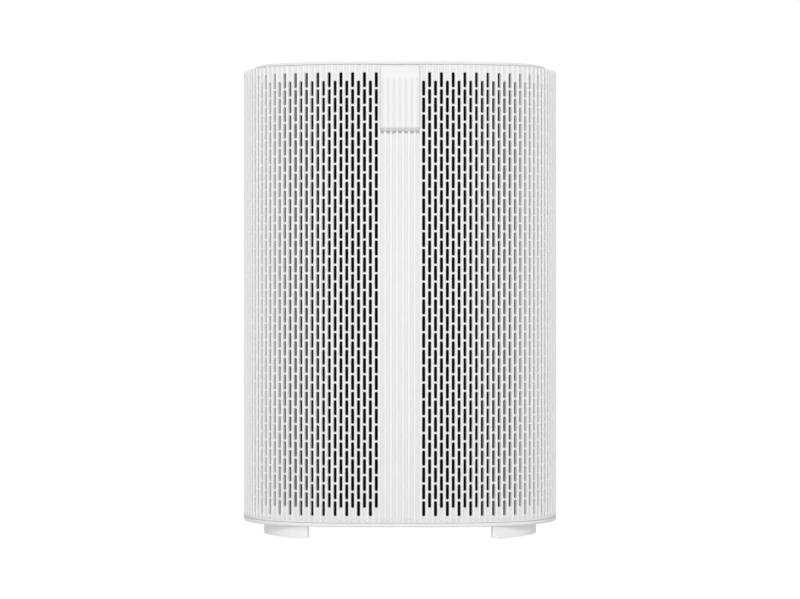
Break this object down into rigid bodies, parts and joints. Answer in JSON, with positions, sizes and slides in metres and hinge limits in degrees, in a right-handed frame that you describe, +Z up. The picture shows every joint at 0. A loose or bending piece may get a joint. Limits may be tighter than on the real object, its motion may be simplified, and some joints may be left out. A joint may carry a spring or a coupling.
{
  "type": "air purifier",
  "caption": "White rounded-square tower air purifier with a fluted, slotted pull-off front cover, flat filter cartridge, centrifugal fan, top outlet grille and push buttons.",
  "frame": {"origin": "on the floor under the middle of the whole object, pull tab included", "axes": "+Z up, -Y out of the slotted front, +X to the right seen from the front"},
  "size_m": [0.25, 0.2536, 0.3715],
  "materials": {
    "shell": "fine satin moulding, fluted",
    "base": "satin moulding",
    "pads": "soft matt",
    "inner": "plain moulding",
    "mesh": "fine woven mesh",
    "grille": "satin moulding",
    "panel": "polished",
    "lens": "clear diffuser",
    "button": "satin",
    "fan": "plain moulding",
    "filter_frame": "stiff board",
    "carbon": "felted carbon cloth",
    "paper": "folded fibre sheet",
    "foam": "closed cell foam",
    "ribbon": "woven ribbon",
    "steel": "plated",
    "core": "stacked sheet, varnished",
    "motor_shell": "pressed sheet, plated",
    "board": "solder mask",
    "dark_part": "moulded",
    "sink": "extruded"
  },
  "bodies": {
    "housing": {"rear_housing": "shell", "top_plate": "shell", "base_tray": "base", "foot_front_left": "base", "foot_front_right": "base", "foot_rear_left": "base", "foot_rear_right": "base", "foot_pad_front_left": "pads", "foot_pad_front_right": "pads", "foot_pad_rear_left": "pads", "foot_pad_rear_right": "pads", "motor_mounts": "pads", "fan_wall": "inner", "scroll_housing": "inner", "top_deck": "inner", "inlet_guard": "inner", "outlet_grille": "grille", "control_panel": "panel", "indicator_lens": "lens", "strike_plates": "steel", "base_screws": "steel", "motor_screws": "steel", "control_board_screws": "steel", "main_board_screws": "steel", "front_bearing": "steel", "rear_bearing": "steel", "jack_pin": "steel", "motor_stator": "core", "transformer": "core", "motor_case": "motor_shell", "motor_cap": "motor_shell", "control_board": "board", "main_board": "board", "key_switches": "dark_part", "power_jack": "dark_part", "dust_sensor": "dark_part", "capacitors": "dark_part", "heat_sink": "sink"},
    "cover": {"front_cover": "shell", "pull_tab": "shell", "lint_mesh": "mesh", "cover_magnets": "steel"},
    "filter": {"filter_frame": "filter_frame", "carbon_layer": "carbon", "pleat_pack": "paper", "filter_seal": "foam", "filter_strap": "ribbon"},
    "fan": {"impeller": "fan", "fan_shaft": "steel", "impeller_nut": "steel", "motor_rotor": "core"},
    "power_key": {"power_button": "button"},
    "speed_key": {"speed_button": "button"},
    "timer_key": {"timer_button": "button"},
    "sleep_key": {"sleep_button": "button"}
  },
  "joints": [
    {"name": "cover_pull", "type": "slide", "parent": "housing", "child": "cover", "axis": [0, -1, 0], "range_m": [0, 0.2]},
    {"name": "filter_slide", "type": "slide", "parent": "housing", "child": "filter", "axis": [0, -1, 0], "range_m": [0, 0.1]},
    {"name": "fan_spin", "type": "hinge", "parent": "housing", "child": "fan", "pos_m": [0, 0.00175, 0.152], "axis": [0, 1, 0], "continuous": true},
    {"name": "power_press", "type": "slide", "parent": "housing", "child": "power_key", "axis": [0, 0, -1], "range_m": [0, 0.0008], "stiffness_N_per_m": 300, "springref_m": -0.002},
    {"name": "speed_press", "type": "slide", "parent": "housing", "child": "speed_key", "axis": [0, 0, -1], "range_m": [0, 0.0008], "stiffness_N_per_m": 300, "springref_m": -0.002},
    {"name": "timer_press", "type": "slide", "parent": "housing", "child": "timer_key", "axis": [0, 0, -1], "range_m": [0, 0.0008], "stiffness_N_per_m": 300, "springref_m": -0.002},
    {"name": "sleep_press", "type": "slide", "parent": "housing", "child": "sleep_key", "axis": [0, 0, -1], "range_m": [0, 0.0008], "stiffness_N_per_m": 300, "springref_m": -0.002}
  ],
  "couplings": [
    {"joint": "filter_slide", "follows": "cover_pull", "ratio": 0.5}
  ]
}
